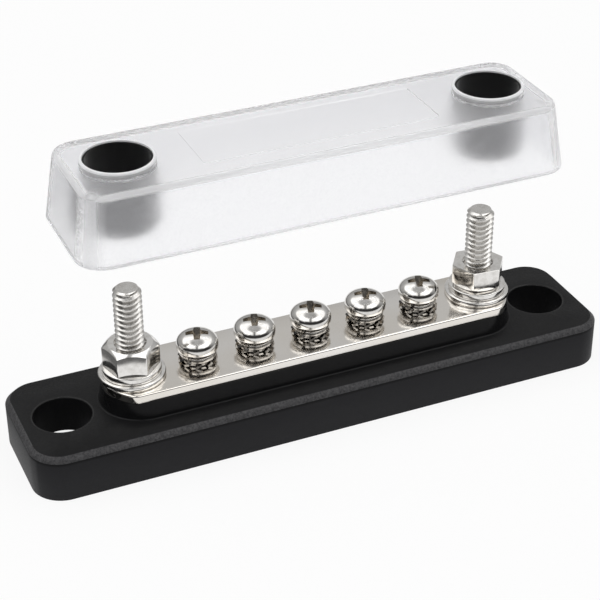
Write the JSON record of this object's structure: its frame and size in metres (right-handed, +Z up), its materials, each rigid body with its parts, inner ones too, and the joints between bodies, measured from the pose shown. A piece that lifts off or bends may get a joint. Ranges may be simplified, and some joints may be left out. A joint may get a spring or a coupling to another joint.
{
  "type": "bus bar",
  "caption": "Power distribution bus bar: a plated bar with threaded studs and terminal screws on an insulating base with end mounting holes, and a clear lift-off cover.",
  "frame": {"origin": "middle of the base's underside, where it rests on its mounting surface", "axes": "+Z up along the studs, +X along the bar, -Y faces the viewer's long side"},
  "size_m": [0.1392, 0.032, 0.0705],
  "materials": {
    "base_plastic": "fine matte moulded",
    "bar_plating": "bright nickel plate over brass",
    "steel": "polished",
    "clear_cover": "clear, lightly hazed",
    "sleeve_rubber": "smooth black"
  },
  "bodies": {
    "base": {"base": "base_plastic", "bus_bar": "bar_plating", "stud_left": "steel", "stud_right": "steel", "flat_washer_left": "steel", "flat_washer_right": "steel"},
    "cover": {"cover": "clear_cover", "cover_sleeve_left": "sleeve_rubber", "cover_sleeve_right": "sleeve_rubber"},
    "lock_washer_left": {"lock_washer_left": "steel"},
    "nut_left": {"stud_nut_left": "steel"},
    "lock_washer_right": {"lock_washer_right": "steel"},
    "nut_right": {"stud_nut_right": "steel"},
    "screw_washers_1": {"screw_lock_washer_1": "steel", "star_washer_1": "steel"},
    "screw_1": {"terminal_screw_1": "steel"},
    "screw_washers_2": {"screw_lock_washer_2": "steel", "star_washer_2": "steel"},
    "screw_2": {"terminal_screw_2": "steel"},
    "screw_washers_3": {"screw_lock_washer_3": "steel", "star_washer_3": "steel"},
    "screw_3": {"terminal_screw_3": "steel"},
    "screw_washers_4": {"screw_lock_washer_4": "steel", "star_washer_4": "steel"},
    "screw_4": {"terminal_screw_4": "steel"},
    "screw_washers_5": {"screw_lock_washer_5": "steel", "star_washer_5": "steel"},
    "screw_5": {"terminal_screw_5": "steel"}
  },
  "joints": [
    {"name": "cover_lift", "type": "slide", "parent": "base", "child": "cover", "axis": [0, 0, 1], "range_m": [-0.0372, 0]},
    {"name": "nut_left_rise", "type": "slide", "parent": "base", "child": "lock_washer_left", "axis": [0, 0, 1], "range_m": [0, 0.0127]},
    {"name": "nut_left_turn", "type": "hinge", "parent": "lock_washer_left", "child": "nut_left", "pos_m": [-0.04285, 0, 0.0199], "axis": [0, 0, 1], "range_deg": [0, 3600]},
    {"name": "nut_right_rise", "type": "slide", "parent": "base", "child": "lock_washer_right", "axis": [0, 0, 1], "range_m": [0, 0.0127]},
    {"name": "nut_right_turn", "type": "hinge", "parent": "lock_washer_right", "child": "nut_right", "pos_m": [0.04285, 0, 0.0199], "axis": [0, 0, 1], "range_deg": [0, 3600]},
    {"name": "screw_1_rise", "type": "slide", "parent": "base", "child": "screw_washers_1", "axis": [0, 0, 1], "range_m": [0, 0.0056]},
    {"name": "screw_1_turn", "type": "hinge", "parent": "screw_washers_1", "child": "screw_1", "pos_m": [-0.02745, 0, 0.0202], "axis": [0, 0, 1], "range_deg": [0, 2520]},
    {"name": "screw_2_rise", "type": "slide", "parent": "base", "child": "screw_washers_2", "axis": [0, 0, 1], "range_m": [0, 0.0056]},
    {"name": "screw_2_turn", "type": "hinge", "parent": "screw_washers_2", "child": "screw_2", "pos_m": [-0.01372, 0, 0.0202], "axis": [0, 0, 1], "range_deg": [0, 2520]},
    {"name": "screw_3_rise", "type": "slide", "parent": "base", "child": "screw_washers_3", "axis": [0, 0, 1], "range_m": [0, 0.0056]},
    {"name": "screw_3_turn", "type": "hinge", "parent": "screw_washers_3", "child": "screw_3", "pos_m": [0, 0, 0.0202], "axis": [0, 0, 1], "range_deg": [0, 2520]},
    {"name": "screw_4_rise", "type": "slide", "parent": "base", "child": "screw_washers_4", "axis": [0, 0, 1], "range_m": [0, 0.0056]},
    {"name": "screw_4_turn", "type": "hinge", "parent": "screw_washers_4", "child": "screw_4", "pos_m": [0.01372, 0, 0.0202], "axis": [0, 0, 1], "range_deg": [0, 2520]},
    {"name": "screw_5_rise", "type": "slide", "parent": "base", "child": "screw_washers_5", "axis": [0, 0, 1], "range_m": [0, 0.0056]},
    {"name": "screw_5_turn", "type": "hinge", "parent": "screw_washers_5", "child": "screw_5", "pos_m": [0.02745, 0, 0.0202], "axis": [0, 0, 1], "range_deg": [0, 2520]}
  ],
  "couplings": [
    {"joint": "nut_left_turn", "follows": "nut_left_rise", "rad_per_m": 4947.4},
    {"joint": "nut_right_turn", "follows": "nut_right_rise", "rad_per_m": 4947.4},
    {"joint": "screw_1_turn", "follows": "screw_1_rise", "rad_per_m": 7854},
    {"joint": "screw_2_turn", "follows": "screw_2_rise", "rad_per_m": 7854},
    {"joint": "screw_3_turn", "follows": "screw_3_rise", "rad_per_m": 7854},
    {"joint": "screw_4_turn", "follows": "screw_4_rise", "rad_per_m": 7854},
    {"joint": "screw_5_turn", "follows": "screw_5_rise", "rad_per_m": 7854}
  ]
}
